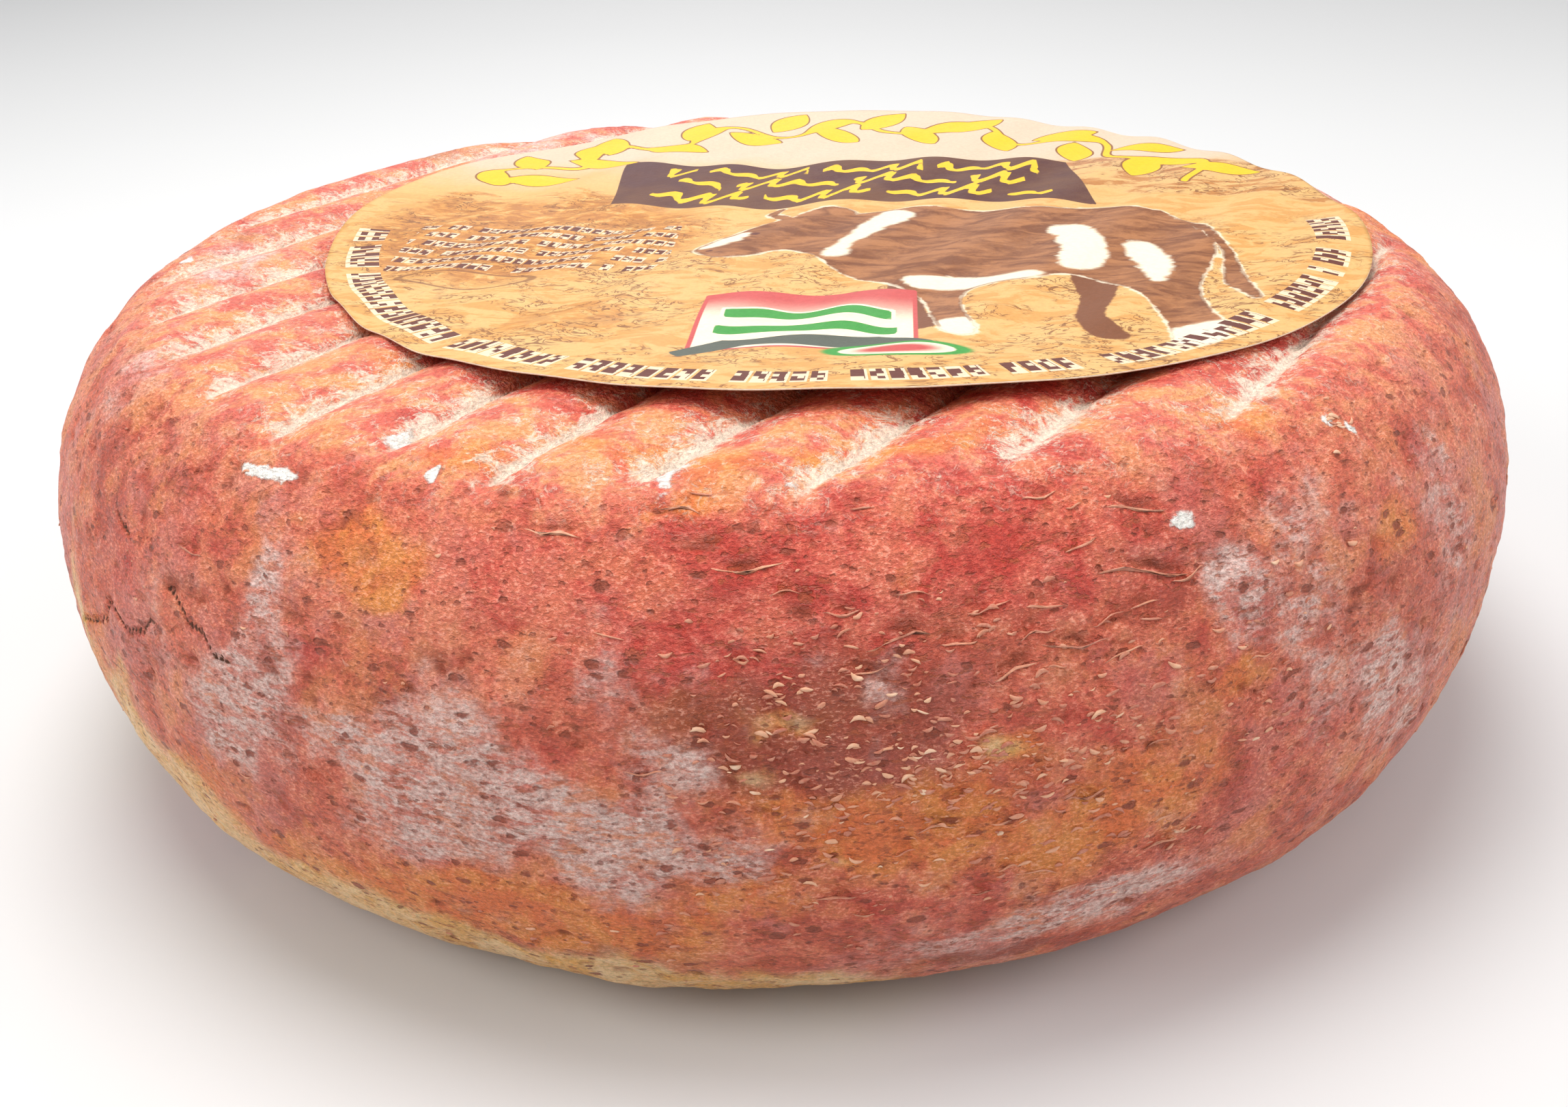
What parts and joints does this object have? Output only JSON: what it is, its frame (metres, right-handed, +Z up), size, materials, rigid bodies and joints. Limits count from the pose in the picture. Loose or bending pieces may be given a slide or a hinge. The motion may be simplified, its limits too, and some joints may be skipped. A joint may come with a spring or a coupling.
{
  "type": "tomme cheese wheel",
  "caption": "Round semi-hard cheese with a bellied natural rind, parallel rack marks across its flat faces and a round paper label lying on top.",
  "frame": {"origin": "middle of the wheel's flat base, in the plane that it stands on", "axes": "+Z up along the wheel's axis; -Y towards the side that the label's picture is read from; +X to that reader's right"},
  "size_m": [0.286, 0.286, 0.0892],
  "materials": {
    "rind": "dry washed rind, matt to faintly velvety, coral and ochre with pale mould bloom",
    "label_paper": "uncoated cream paper printed in ochre and brown, slightly oiled by the cheese"
  },
  "bodies": {
    "root": {"cheese_wheel": "rind", "paper_label": "label_paper"}
  },
  "joints": []
}
